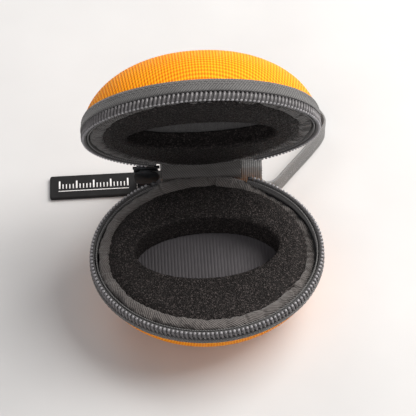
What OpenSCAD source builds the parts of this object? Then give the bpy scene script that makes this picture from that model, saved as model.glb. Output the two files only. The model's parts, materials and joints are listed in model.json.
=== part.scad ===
// Zippered, moulded travel case for one watch, standing open.
// Millimetres, +Z up. The origin is the centre of the flat foot under the base.
// The base and the lid are the same oval moulding; the lid turns about the
// fabric hinge at the back (+Y), and is drawn as far open as it stands by itself.

/* [Case] */
// Width of the rim, left to right
case_w = 100; // [90:1:115]
// Depth of the rim, front to back, as a share of its width
case_oval = 0.86; // [0.80:0.01:0.95]
// Height of each half, from its flat foot to the mating plane
half_h = 29; // [27:0.5:36]
// Angle between the two rims as the case stands open
open_angle = 69; // [60:1:90]

/* [Shell] */
// Thickness of the woven outer skin
skin_t = 1.0; // [0.6:0.1:1.5]
// Thickness of the moulded foam core
core_t = 2.5; // [1.5:0.1:3.0]
// Thickness of the knitted inner lining
lining_t = 0.8; // [0.6:0.1:1.2]

/* [Foam inserts] */
// Gap between the edge of the rim and the edge of the foam
foam_inset = 7.25; // [6.5:0.05:9]
// Length of the oval slot that holds the watch
slot_w = 62; // [50:1:66]
// Width of the oval slot
slot_d = 32; // [24:1:40]
// How far the middle of the base's slot lies towards the hinge
base_slot_back = 1.5; // [0:0.5:3]
// Depth of the slot in the base
base_slot_h = 12; // [10:0.5:15]
// Depth of the slot in the lid
lid_slot_h = 7.5; // [6:0.5:12]
// Thickness of the knit-covered pad under each slot
pad_t = 6; // [4:0.5:8]

/* [Zipper] */
// Height of the coil teeth
coil_h = 4.1; // [3.5:0.1:4.5]
// Thickness of the coil teeth
coil_t = 2.6; // [2:0.1:3]
// Distance from the mating plane to the lower edge of the base's tape
base_tape_h = 7.2; // [6.5:0.1:12]
// Distance from the mating plane to the upper edge of the lid's tape
lid_tape_h = 9.4; // [6.5:0.1:12]
// Half the length of the gap that the teeth leave at the hinge
tooth_gap = 23; // [20:1:26]

/* [Hinge] */
// Width of the inner hinge strip
strip_w = 35; // [28:1:35]
// Right end of the outer hinge ribbon, from the middle of the case
ribbon_right = 27; // [24:1:30]
// Left end of the outer hinge ribbon, from the middle of the case
ribbon_left = 18.2; // [16:0.1:18.2]
// How far the ribbon reaches down the base and up the lid
ribbon_reach = 13; // [11:0.5:16]

/* [Zip pull] */
// Length of the flat tab
tab_l = 51.5; // [40:0.5:60]
// Width of the flat tab
tab_w = 13; // [11:0.5:15]
// Thickness of the flat tab
tab_t = 1.8; // [1.2:0.1:2.5]

/* [Wrist strap] */
// Width of the webbing, which lies on its edge
strap_w = 11; // [8:0.5:12]
// Thickness of the webbing
strap_t = 1.3; // [1:0.1:1.8]

/* [Hidden] */

$fn = 96;
gap = 0.05;                       // between pieces that are glued or sewn together
rim_r = case_w / 2;
dome_n = 2.2;                     // squareness of the dome's section
foot_share = 0.57;                // radius of the flat foot, as a share of the rim's
// depth at which the dome would close if it had no flat foot
dome_h = half_h / pow(1 - pow(foot_share, dome_n), 1 / dome_n);
shell_top = coil_h + 0.95;        // the shell stops this far from the mating plane
mate = 0.15;                      // clearance of each half to the mating plane
tape_t = 0.55;
tape_wall_r = rim_r - 3.0;        // inner face of the tape's upright behind the teeth
foam_r = rim_r - foam_inset;
foam_top = 0.2;                   // below the mating plane
roll_h = 8.8;
steps = 8;

hinge_y = rim_r * case_oval + 0.8;
hinge_z = half_h;

slider_x = -24.5;
slider_z = hinge_z - 1.5;
slider_l = 11;
slider_h = 8.4;
plate_t = 1.1;
channel_y = hinge_y - 0.45;       // middle of the slider's channel and of the tail
channel_t = 1.6;
crown_y = channel_y + channel_t / 2 + plate_t + 2.6;
crown_r = 0.6;
link_l = 15.5;
link_w = 12;
link_tilt = 38;                   // how far the link hangs out from straight down
link_end_y = crown_y + link_l * sin(link_tilt);
link_end_z = slider_z - link_l * cos(link_tilt);
link_bar_r = 0.75;
loop_t = 1.0;

tab_right = -18.2;
tab_y = 59.8;

strap_x = 25;                     // the line about which the strap swings
strap_y = hinge_y + 3.8;
strap_top = hinge_z - 1.5;

// The wrist strap's route: x, y and the height of its lower edge
STRAP_ROUTE = [
    [25.6, 47.6, 6.5], [29, 46.6, 3], [33.4, 49.2, 0.6], [39, 56, 0], [46.6, 65, 0],
    [53.6, 73.6, 0], [58.2, 79.8, 0], [59.6, 84.6, 0], [57.6, 90.2, 0], [52.4, 97.4, 0],
    [45, 104.4, 0], [36, 109.6, 0], [25.6, 111.8, 0], [15, 110, 0], [7, 104, 0],
    [2.6, 95.6, 0], [2.8, 86, 0], [7, 76.4, 0], [12.6, 67.3, 0], [17.5, 59.5, 0.5],
    [21.5, 53.5, 3], [24.4, 48, 6.5]
];

// ---- outlines -------------------------------------------------------------

// Radius of the dome at a depth below the mating plane
function dome_r(z) = rim_r * pow(1 - pow(z / dome_h, dome_n), 1 / dome_n);

// A run of points down the dome, moved in by inset
function dome_run(from, to, inset) =
    [for (i = [0:steps]) let (z = from + (to - from) * sin(90 * i / steps)) [dome_r(z) - inset, -z]];

function reversed(list) = [for (i = [len(list) - 1:-1:0]) list[i]];

// Section of one layer of the shell, closed across the axis at the foot
function layer_section(top, outer, inner) =
    concat(
        dome_run(top, half_h - outer, outer),
        [[0, -(half_h - outer)], [0, -(half_h - inner)]],
        reversed(dome_run(top, half_h - inner, inner))
    );

// An oval ring in four quarters: a section turned about Z, then made narrower front to back.
// The back loses what lies between left and right of the middle.
module oval(section, left = 0, right = 0) {
    for (back = [0, 1], side = [0, 1])
        mirror([side, 0, 0]) mirror([0, 1 - back, 0])
            scale([1, case_oval, 1])
                difference() {
                    rotate_extrude(angle = 90) polygon(section);
                    if (back == 1 && left + right > 0)
                        translate([-1, 0, -2 * half_h])
                            cube([1 + (side == 0 ? right : left), case_w, 4 * half_h]);
                }
}

// ---- one half of the case, its mating plane at z = 0 and its dome below ----

module half_skin() {
    color("darkorange")
        difference() {
            oval(concat(
                dome_run(shell_top, half_h + 0.5, 0),
                [[0, -half_h - 0.5], [0, -(half_h - skin_t)]],
                reversed(dome_run(shell_top, half_h - skin_t, skin_t))
            ));
            translate([-rim_r, -rim_r, -half_h - 10]) cube([case_w, case_w, 10]);
        }
}

module half_core() {
    color("dimgray") oval(layer_section(shell_top, skin_t + gap, skin_t + core_t));
}

module half_lining() {
    glue = 0.2;
    outer = skin_t + core_t + glue;
    color("slategray") oval(layer_section(roll_h + 0.4, outer, outer + lining_t - glue));
}

// The knit-covered pad that closes the slot; it rests on the sloping lining all round
module half_floor_pad(slot_h) {
    inset = skin_t + core_t + lining_t + 4 * gap;
    top = slot_h + 0.25;
    bottom = top + pad_t;
    color("gray")
        oval([
            [0, -top], [min(foam_r, dome_r(top) - inset), -top],
            [min(foam_r, dome_r(bottom) - inset), -bottom], [0, -bottom]
        ]);
}

module half_foam_insert(slot_h, slot_back) {
    color("black")
        difference() {
            oval([[0, -slot_h - 0.15], [foam_r, -slot_h - 0.15], [foam_r, -foam_top], [0, -foam_top]]);
            translate([0, slot_back, -slot_h - 1])
                scale([1, slot_d / slot_w, 1]) cylinder(d = slot_w, h = slot_h + 2);
        }
}

module half_rim_roll() {
    roll_in = foam_r + 0.15;
    roll_out = tape_wall_r - 0.1;
    roll_r = (roll_out - roll_in) / 2;
    tail_out = dome_r(roll_h) - skin_t - core_t - 0.15;
    color("darkgray")
        oval(concat(
            [[roll_in, -roll_h]],
            [for (a = [180:-20:0])
                [roll_in + roll_r + roll_r * cos(a), -foam_top - roll_r + roll_r * sin(a)]],
            [[roll_out, -shell_top + 0.1], [tail_out, -shell_top + 0.1], [tail_out, -roll_h]]
        ));
}

module half_zipper_tape(tape_h) {
    shelf = coil_h + 0.2;
    color("gray")
        oval(concat(
            [[tape_wall_r, -mate - 0.3], [tape_wall_r + tape_t, -mate - 0.3]],
            [[tape_wall_r + tape_t, -shelf], [dome_r(shelf) + tape_t + gap, -shelf]],
            [for (i = [0:4]) let (z = shelf + 0.6 + (tape_h - shelf - 0.6) * i / 4)
                [dome_r(z) + tape_t + gap, -z]],
            [for (i = [4:-1:0]) let (z = shelf + 0.6 + (tape_h - shelf - 0.6) * i / 4)
                [dome_r(z) + gap, -z]],
            [[tape_wall_r, -shelf - 0.6]]
        ), tooth_gap - 3, tooth_gap - 3);
}

module half_zipper_coil() {
    inner = tape_wall_r + tape_t + gap;
    mid = inner + coil_t / 2;
    corner = 0.8;
    color("silver")
        oval([
            [inner + corner, -mate], [inner + coil_t - corner, -mate], [inner + coil_t, -mate - corner],
            [inner + coil_t, -coil_h + corner], [inner + coil_t - corner, -coil_h],
            [inner + corner, -coil_h], [inner, -coil_h + corner], [inner, -mate - corner]
        ], tooth_gap, tooth_gap);
}

// Two rows of thread that hold the tape to the shell
module half_tape_stitching(tape_h) {
    thread = 0.35;
    color("lightgray")
        for (z = [tape_h - 0.9, tape_h - 1.9]) {
            r = dome_r(z) + tape_t + 3 * gap;
            oval([[r, -z], [r + thread, -z], [r + thread, thread - z], [r, thread - z]], tooth_gap, tooth_gap);
        }
}

// Places a half as the base, and as the lid at its standing angle
module as_base() {
    translate([0, 0, half_h]) children();
}

module as_lid() {
    translate([0, hinge_y, hinge_z])
        rotate([-open_angle, 0, 0])
            translate([0, -hinge_y, 0]) mirror([0, 0, 1]) children();
}

// ---- hinge ------------------------------------------------------------------

// A strip of even thickness along a bent line in the Y-Z plane, hung on its left side
module bent_strip(line, thickness, x0, x1) {
    function side(i) = let (
        a = line[max(i - 1, 0)], b = line[min(i + 1, len(line) - 1)], d = (b - a) / norm(b - a)
    ) line[i] + thickness * [d[1], -d[0]];
    translate([x0, 0, 0])
        rotate([90, 0, 90])
            linear_extrude(height = x1 - x0)
                polygon(concat(line, [for (i = [len(line) - 1:-1:0]) side(i)]));
}

// A point on the lid: distance out from the hinge line and height up its wall
function lid_point(out, up) = [
    hinge_y + out * cos(open_angle) + up * sin(open_angle),
    hinge_z - out * sin(open_angle) + up * cos(open_angle)
];

module hinge_strip() {
    line = [
        [hinge_y - 1.9, hinge_z - coil_h + 0.1], [hinge_y - 1.9, hinge_z - 0.6],
        [hinge_y - 1.5, hinge_z + 0.5], lid_point(-1.9, 0.9), lid_point(-1.9, coil_h - 0.1)
    ];
    color("gray") bent_strip(line, 0.7, -strip_w / 2, strip_w / 2);
}

module hinge_ribbon() {
    wall = 0.95;
    base_run = [for (z = [ribbon_reach, 9, 5]) [dome_r(z) * case_oval + wall, hinge_z - z]];
    lid_run = [for (z = [5, 9, ribbon_reach]) lid_point(dome_r(z) * case_oval + wall - hinge_y, z)];
    corner = [[hinge_y + 0.35, hinge_z - 1.9], [hinge_y + 0.7, hinge_z - 0.9], lid_point(0.35, 2.1)];
    color("silver") bent_strip(concat(base_run, corner, lid_run), 0.9, -ribbon_left, ribbon_right);
}

module hinge_stitching() {
    wall = 0.95 + 0.9;
    color("lightgray")
        for (z = [7.5, 11])
            translate([-ribbon_left + 1.5, dome_r(z) * case_oval + wall + 0.3, hinge_z - z])
                rotate([0, 90, 0]) cylinder(r = 0.2, h = ribbon_left + ribbon_right - 9.5, $fn = 16);
}

// ---- zipper -----------------------------------------------------------------

// The two tape ends, sewn together past the hinge for the slider to park on
module zipper_tail() {
    left = slider_x - 3.2;
    color("gray")
        translate([left, channel_y - 0.4, hinge_z - 4])
            cube([-ribbon_left + 0.5 - left, 0.8, 5]);
}

module zipper_stops() {
    stop_r = tape_wall_r + tape_t + gap;
    color("silver")
        for (x = [-tooth_gap + 1.7, tooth_gap - 1.7])
            translate([x, sqrt(pow(stop_r + coil_t / 2, 2) - x * x) * case_oval, hinge_z - coil_h + 0.1])
                linear_extrude(height = coil_h - mate - 0.2) square([2.2, 1.4], center = true);
}

module slider_body() {
    color("darkslategray")
        difference() {
            translate([slider_x - slider_l / 2, channel_y - channel_t / 2 - plate_t, slider_z - slider_h / 2])
                cube([slider_l, channel_t + 2 * plate_t, slider_h]);
            translate([slider_x - slider_l / 2 + 2, channel_y - channel_t / 2, slider_z - slider_h / 2 - 1])
                cube([slider_l, channel_t, slider_h + 2]);
            for (side = [-1, 1])
                translate([slider_x - slider_l / 2 - 1, channel_y - channel_t / 2,
                           slider_z + side * (slider_h / 2 - 1.2) - 1.5])
                    cube([slider_l + 2, channel_t, 3]);
        }
}

module slider_crown() {
    plate_y = channel_y + channel_t / 2 + plate_t;
    color("darkslategray") {
        for (x = [slider_x - 3.4, slider_x + 3.4])
            translate([x - 0.7, plate_y, slider_z - 1]) cube([1.4, crown_y - plate_y, 2]);
        translate([slider_x - 4.1, crown_y, slider_z])
            rotate([0, 90, 0]) cylinder(r = crown_r, h = 8.2, $fn = 32);
    }
}

module pull_link() {
    color("darkslategray")
        translate([slider_x, crown_y, slider_z])
            rotate([link_tilt, 0, 0]) {
                difference() {
                    union() {
                        translate([-2.3, 0, 0]) rotate([0, 90, 0]) cylinder(r = 1.4, h = 4.6, $fn = 48);
                        translate([-2.3, -0.6, -4]) cube([4.6, 1.2, 3]);
                        translate([-link_w / 2, -0.6, -link_l + 4.5]) cube([link_w, 1.2, link_l - 7.5]);
                        for (side = [-1, 1])
                            translate([side * (link_w - 1.2) / 2 - 0.6, -0.6, -link_l]) cube([1.2, 1.2, 5]);
                    }
                    translate([-link_w, 0, 0])
                        rotate([0, 90, 0]) cylinder(r = crown_r + 0.08, h = 2 * link_w, $fn = 48);
                }
                translate([-link_w / 2, 0, -link_l])
                    rotate([0, 90, 0]) cylinder(r = link_bar_r, h = link_w, $fn = 32);
            }
}

// ---- zip pull ---------------------------------------------------------------

// Webbing that wraps the link's lower bar and comes down to the tab
module pull_loop() {
    loop_w = 9;
    eye_r = link_bar_r + 0.08;
    drop = [
        [link_end_y + 0.2, link_end_z - eye_r - 0.1], [link_end_y + 0.7, 10], [link_end_y + 1.6, 5.2],
        [tab_y + 0.9, tab_t + 0.9], [tab_y + 2.4, tab_t + 0.1], [tab_y + 5.2, tab_t + 0.05]
    ];
    color("black") {
        difference() {
            union() {
                translate([slider_x - loop_w / 2, link_end_y, link_end_z])
                    rotate([0, 90, 0]) cylinder(r = eye_r + loop_t, h = loop_w, $fn = 48);
                bent_strip(reversed(drop), loop_t, slider_x - loop_w / 2, slider_x + loop_w / 2);
            }
            translate([slider_x - loop_w, link_end_y, link_end_z])
                rotate([0, 90, 0]) cylinder(r = eye_r, h = 2 * loop_w, $fn = 48);
        }
    }
}

module pull_tab() {
    corner = 1.2;
    color("black")
        translate([tab_right - tab_l, tab_y - tab_w / 2, 0])
            linear_extrude(height = tab_t) {
                translate([corner, 0]) square([tab_l - 2 * corner, tab_w]);
                translate([0, corner]) square([tab_l, tab_w - 2 * corner]);
                for (x = [corner, tab_l - corner], y = [corner, tab_w - corner])
                    translate([x, y]) circle(r = corner, $fn = 24);
            }
}

module pull_tab_stitching() {
    inset = 1.4;
    color("lightgray")
        translate([tab_right - 11.2, tab_y - tab_w / 2 + inset, tab_t + 0.22])
            rotate([-90, 0, 0]) cylinder(r = 0.2, h = tab_w - 2 * inset, $fn = 16);
}

// ---- wrist strap ------------------------------------------------------------

module strap_tack() {
    color("lightgray")
        translate([strap_x - 3.2, hinge_y + 1.3, strap_top - strap_w + 0.4]) cube([6.4, 0.7, strap_w - 2.2]);
}

// Smooth point at t = 0..1 between p1 and p2, with p0 and p3 beyond them
function smooth(p0, p1, p2, p3, t) =
    0.5 * (2 * p1 + (p2 - p0) * t + (2 * p0 - 5 * p1 + 4 * p2 - p3) * t * t
        + (3 * p1 - p0 - 3 * p2 + p3) * t * t * t);

function on_floor(p) = [p[0], p[1], max(p[2], 0)];

function route_point(i, t) =
    let (last = len(STRAP_ROUTE) - 1)
        on_floor(smooth(STRAP_ROUTE[max(i - 1, 0)], STRAP_ROUTE[i], STRAP_ROUTE[i + 1],
                        STRAP_ROUTE[min(i + 2, last)], t));

// Webbing on edge along part of a route: one four-sided ring at each point
module edge_webbing(points, first, last, width, thickness) {
    top = len(points) - 1;
    function side(i) = let (
        d = points[min(i + 1, top)] - points[max(i - 1, 0)], flat = [d[0], d[1]] / norm([d[0], d[1]])
    ) thickness / 2 * [-flat[1], flat[0], 0];
    rings = [for (i = [first:last]) each [
        points[i] - side(i), points[i] + side(i),
        points[i] + side(i) + [0, 0, width], points[i] - side(i) + [0, 0, width]
    ]];
    n = last - first;
    walls = [for (i = [0:n - 1], k = [0:3])
        [4 * i + k, 4 * i + 4 + k, 4 * i + 4 + (k + 1) % 4, 4 * i + (k + 1) % 4]];
    ends = [[0, 1, 2, 3], [for (k = [3:-1:0]) 4 * n + k]];
    polyhedron(points = rings, faces = concat(walls, ends), convexity = 6);
}

module wrist_strap() {
    fine = concat(
        [for (i = [0:len(STRAP_ROUTE) - 2], t = [0, 0.5]) route_point(i, t)],
        [STRAP_ROUTE[len(STRAP_ROUTE) - 1]]
    );
    middle = floor(len(fine) / 2);
    color("dimgray") {
        edge_webbing(fine, 0, middle, strap_w, strap_t);
        edge_webbing(fine, middle, len(fine) - 1, strap_w, strap_t);
        translate([strap_x, strap_y, STRAP_ROUTE[0][2]])
            cylinder(r = 1.5, h = strap_top - 1.5 - STRAP_ROUTE[0][2], $fn = 32);
    }
}

// ---- the nodes --------------------------------------------------------------

as_base() half_skin();  // base_skin
as_base() half_core();  // base_core
as_base() half_lining();  // base_lining
as_base() half_floor_pad(base_slot_h);  // base_floor_pad
as_base() half_foam_insert(base_slot_h, base_slot_back);  // base_foam_insert
as_base() half_rim_roll();  // base_rim_roll
as_base() half_zipper_tape(base_tape_h);  // base_zipper_tape
as_base() half_zipper_coil();  // base_zipper_coil
as_base() half_tape_stitching(base_tape_h);  // base_tape_stitching
as_lid() half_skin();  // lid_skin
as_lid() half_core();  // lid_core
as_lid() half_lining();  // lid_lining
as_lid() half_floor_pad(lid_slot_h);  // lid_floor_pad
as_lid() half_foam_insert(lid_slot_h, 0);  // lid_foam_insert
as_lid() half_rim_roll();  // lid_rim_roll
as_lid() half_zipper_tape(lid_tape_h);  // lid_zipper_tape
as_lid() half_zipper_coil();  // lid_zipper_coil
as_lid() half_tape_stitching(lid_tape_h);  // lid_tape_stitching
hinge_strip();
hinge_ribbon();
hinge_stitching();
zipper_tail();
zipper_stops();
slider_body();
slider_crown();
pull_link();
pull_loop();
pull_tab();
pull_tab_stitching();
strap_tack();
wrist_strap();
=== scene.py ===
"""A zippered, moulded travel case for one watch, standing open on a pale studio floor.

Lengths are metres. A half of the case is made with its mating plane at z = 0 and its dome
below, and then placed as the base or, mirrored and turned about the hinge, as the lid.
"""

import json
from math import acos, cos, degrees, exp, pi, radians, sin, sqrt

import bmesh
import bpy
from mathutils import Matrix, Vector, noise


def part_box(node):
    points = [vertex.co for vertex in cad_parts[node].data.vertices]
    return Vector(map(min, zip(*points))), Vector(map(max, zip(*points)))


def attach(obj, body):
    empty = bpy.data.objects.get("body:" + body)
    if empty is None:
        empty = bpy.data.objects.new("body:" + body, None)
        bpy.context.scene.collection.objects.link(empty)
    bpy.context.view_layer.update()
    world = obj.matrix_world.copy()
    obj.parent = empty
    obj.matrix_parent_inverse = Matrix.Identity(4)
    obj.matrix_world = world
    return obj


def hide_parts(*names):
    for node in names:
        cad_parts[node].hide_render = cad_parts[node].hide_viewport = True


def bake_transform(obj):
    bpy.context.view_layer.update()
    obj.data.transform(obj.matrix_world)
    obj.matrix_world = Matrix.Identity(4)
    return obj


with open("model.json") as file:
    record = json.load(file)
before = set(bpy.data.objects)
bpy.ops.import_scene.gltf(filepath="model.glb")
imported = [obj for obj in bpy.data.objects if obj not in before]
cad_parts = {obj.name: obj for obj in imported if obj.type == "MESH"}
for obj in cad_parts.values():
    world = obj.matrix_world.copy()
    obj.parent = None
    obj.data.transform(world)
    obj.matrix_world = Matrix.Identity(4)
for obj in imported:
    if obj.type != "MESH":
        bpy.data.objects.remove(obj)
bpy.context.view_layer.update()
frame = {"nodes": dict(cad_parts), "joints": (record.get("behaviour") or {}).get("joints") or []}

MM = 0.001
JOINTS = {joint["name"]: joint for joint in frame["joints"]}

# ---- sizes read from the frame ----

HINGE_Y, HINGE_Z = JOINTS["lid_hinge"]["pos_m"][1:]
X, Y, Z = Vector((1, 0, 0)), Vector((0, 1, 0)), Vector((0, 0, 1))
OPEN_ANGLE = radians(-JOINTS["lid_hinge"]["range_deg"][0])
HALF_H = HINGE_Z
COIL_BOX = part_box("base_zipper_coil")
FOAM_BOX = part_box("base_foam_insert")
RIM_R = COIL_BOX[1].x - 0.2 * MM
OVAL = FOAM_BOX[1].y / FOAM_BOX[1].x
FOAM_R = FOAM_BOX[1].x
SLOT_X, SLOT_Y = 31 * MM, 16 * MM
SLOT_BACK = {"base": 1.5 * MM, "lid": 0.0}
SLOT_H = {"base": HALF_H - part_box("base_floor_pad")[1].z, "lid": 7.75 * MM}
TAPE_H = {"base": 7.2 * MM, "lid": 9.4 * MM}
PAD_H = 6 * MM
DOME_N = 2.2
FOOT_SHARE = 0.57
DOME_H = HALF_H / (1 - FOOT_SHARE**DOME_N) ** (1 / DOME_N)
SKIN_T = 1.0 * MM
SHELL_TOP = 5.05 * MM
TAPE_WALL_R = RIM_R - 3.0 * MM
TAPE_T = 0.55 * MM
COIL_H = 4.1 * MM
COIL_T = 2.6 * MM
TOOTH_GAP = 23 * MM
ROLL_H = 8.8 * MM
HALVES = ("base", "lid")


def half_matrix(half):
    """Takes a half, as made, to its place in the case."""
    if half == "base":
        return Matrix.Translation((0, 0, HALF_H))
    to_hinge = Matrix.Translation((0, HINGE_Y, HINGE_Z))
    back = Matrix.Translation((0, -HINGE_Y, 0))
    return to_hinge @ Matrix.Rotation(-OPEN_ANGLE, 4, "X") @ back @ Matrix.Diagonal((1, 1, -1, 1))


def dome_r(depth):
    """Radius of the dome at a depth below the mating plane."""
    return RIM_R * (1 - (depth / DOME_H) ** DOME_N) ** (1 / DOME_N)


def oval_point(radius, angle, z):
    return Vector((radius * cos(angle), OVAL * radius * sin(angle), z))


def outward(angle):
    """Level unit normal of the oval at an angle."""
    return Vector((OVAL * cos(angle), sin(angle), 0)).normalized()


def along(angle):
    """Unit tangent of the oval at an angle."""
    return Vector((-sin(angle), OVAL * cos(angle), 0)).normalized()


def even_angles(radius, pitch, gap=0.0):
    """Angles a pitch apart along the oval, right to left by the front, less the gap at the back."""
    first = acos(gap / radius) if gap else pi / 2
    last = pi - first - 2 * pi if gap else first - 2 * pi
    fine = 2400
    table = [first + (last - first) * i / fine for i in range(fine + 1)]
    points = [oval_point(radius, a, 0) for a in table]
    run = [0.0]
    for a, b in zip(points, points[1:]):
        run.append(run[-1] + (b - a).length)
    count = max(3, round(run[-1] / pitch))
    angles, j = [], 0
    for i in range(count + 1):
        while j < fine - 1 and run[j + 1] < run[-1] * i / count:
            j += 1
        share = (run[-1] * i / count - run[j]) / (run[j + 1] - run[j])
        angles.append(table[j] + (table[j + 1] - table[j]) * share)
    return angles, run[-1]


# ---- mesh helpers ----


def add_object(name, data):
    made = bpy.data.objects.new(name, data)
    bpy.context.scene.collection.objects.link(made)
    return made


def make_piece(name, points, faces, body, material, uvs=None, place=None):
    """A mesh piece that rides on a body. uvs holds one pair per face corner; place moves the points."""
    mesh = bpy.data.meshes.new(name)
    mesh.from_pydata([tuple(place @ p if place else p) for p in points], [], faces)
    if uvs:
        layer = mesh.uv_layers.new(name="cloth")
        layer.data.foreach_set("uv", [value for pair in uvs for value in pair])
    mesh.shade_smooth()
    mesh.materials.append(MATERIALS[material])
    piece = add_object(name, mesh)
    tidy_normals(mesh)
    if body:
        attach(piece, body)
    return piece


def box_of(node):
    """The low corner, high corner and middle of a CAD node's box."""
    low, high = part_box(node)
    return low, high, (low + high) / 2


def use_material(node, material):
    """Gives a CAD node that stays in view its own finish."""
    slots = frame["nodes"][node].data.materials
    slots.clear()
    slots.append(MATERIALS[material])


def tidy_normals(mesh):
    work = bmesh.new()
    work.from_mesh(mesh)
    bmesh.ops.recalc_face_normals(work, faces=work.faces)
    work.to_mesh(mesh)
    work.free()


def grid_faces(rows, columns, closed, start=0):
    """Quads round a run of rings, capped unless it closes, with each corner's place in it for its UVs."""
    faces, cells = [], []
    for i in range(rows if closed else rows - 1):
        for j in range(columns):
            cell = [(i, j), (i + 1, j), (i + 1, j + 1), (i, j + 1)]
            faces.append([start + (a % rows) * columns + b % columns for a, b in cell])
            cells.extend(cell)
    if not closed:
        faces.append([start + j for j in range(columns)])
        cells.extend((0, j) for j in range(columns))
        faces.append([start + (rows - 1) * columns + j for j in reversed(range(columns))])
        cells.extend((rows - 1, j) for j in reversed(range(columns)))
    return faces, cells


def sweep_piece(name, rings, body, material, uv=None, closed=False, place=None):
    """A solid through closed rings of points. uv takes (ring, point) to a pair in millimetres."""
    points = [p for ring in rings for p in ring]
    faces, cells = grid_faces(len(rings), len(rings[0]), closed)
    uvs = [uv(i, j) for i, j in cells] if uv else None
    return make_piece(name, points, faces, body, material, uvs, place)


def running(points):
    """Distance along a line of points, in millimetres."""
    run = [0.0]
    for a, b in zip(points, points[1:]):
        run.append(run[-1] + (b - a).length / MM)
    return run


def heading(line, i):
    """The direction of a line at one of its points."""
    return (line[min(i + 1, len(line) - 1)] - line[max(i - 1, 0)]).normalized()


def round_section(middle, across, up, width, height, sides):
    ring = []
    for k in range(sides):
        a = 2 * pi * k / sides
        ring.append(middle + across * (width / 2 * cos(a)) + up * (height / 2 * sin(a)))
    return ring


def flat_ring(middles, normal, halves):
    """A closed ring round a flat section, from its middle points and half its thickness at each."""
    upper = [p + normal * half for p, half in zip(middles, halves)]
    lower = [p - normal * half for p, half in zip(middles, halves)]
    return upper + lower[::-1]


def webbing_uv(line, width, across):
    """Cloth coordinates of webbing: along its line, then over its width and back."""
    run = running(line)
    over = [width / MM * k / across for k in range(across + 1)]
    over = over + over[::-1] + [0.0]
    return lambda i, j: (run[i], over[j])


def tube_piece(name, rings, body, slot, material):
    """A piece that is one closed tube through rings of points."""
    parts = Parts()
    parts.sweep(rings)
    return parts.piece(name, body, slot, material)


class Parts:
    """Several closed tubes and blocks gathered into one mesh."""

    def __init__(self):
        self.points, self.faces, self.uvs = [], [], []

    def sweep(self, rings):
        faces, cells = grid_faces(len(rings), len(rings[0]), False, len(self.points))
        along_run = running([ring[0] for ring in rings] + [rings[0][0]])
        round_run = running(rings[0] + [rings[0][0]])
        self.points.extend(p for ring in rings for p in ring)
        self.faces.extend(faces)
        self.uvs.extend((along_run[i], round_run[j]) for i, j in cells)

    def block(self, middle, x, y, z, size, bevel):
        """A block with bevelled edges: three rings from face to face, along z."""
        w, d, h = (s / 2 for s in size)
        rings = []
        for level, inset in ((-h, bevel), (-h + bevel, 0), (h - bevel, 0), (h, bevel)):
            a, b = w - inset, d - inset
            c = bevel * 0.7
            outline = [
                (a - c, -b), (a, -b + c), (a, b - c), (a - c, b),
                (-a + c, b), (-a, b - c), (-a, -b + c), (-a + c, -b),
            ]
            rings.append([middle + x * u + y * v + z * level for u, v in outline])
        self.sweep(rings)

    def stitch(self, a, b, up, thickness):
        """One stitch of thread that rises out of the cloth at a and sinks at b."""
        rings = []
        for i in range(6):
            t = i / 5
            lift = sin(pi * t) * thickness * 0.55
            swell = 0.55 + 0.45 * sin(pi * t) ** 0.5
            middle = a.lerp(b, t) + up * lift
            side = (b - a).normalized().cross(up).normalized()
            rings.append(round_section(middle, side, up, thickness * swell, thickness * swell * 0.8, 6))
        self.sweep(rings)

    def piece(self, name, body, slot, material, place=None):
        return make_piece(name, self.points, self.faces, body, material, self.uvs, place)


def rectangle(middle, x, y):
    """The corners of a rectangle with half sides x and y."""
    return [middle - x - y, middle + x - y, middle + x + y, middle - x + y]


def round_corners(outline, radius, steps):
    """The closed outline with each corner rounded."""
    out = []
    count = len(outline)
    for i, corner in enumerate(outline):
        before, after = outline[i - 1] - corner, outline[(i + 1) % count] - corner
        r = min(radius, before.length * 0.45, after.length * 0.45)
        a, b = corner + before.normalized() * r, corner + after.normalized() * r
        for k in range(steps + 1):
            t = k / steps
            out.append(a * (1 - t) ** 2 + corner * (2 * t * (1 - t)) + b * t * t)
    return out


# ---- materials ----


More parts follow.
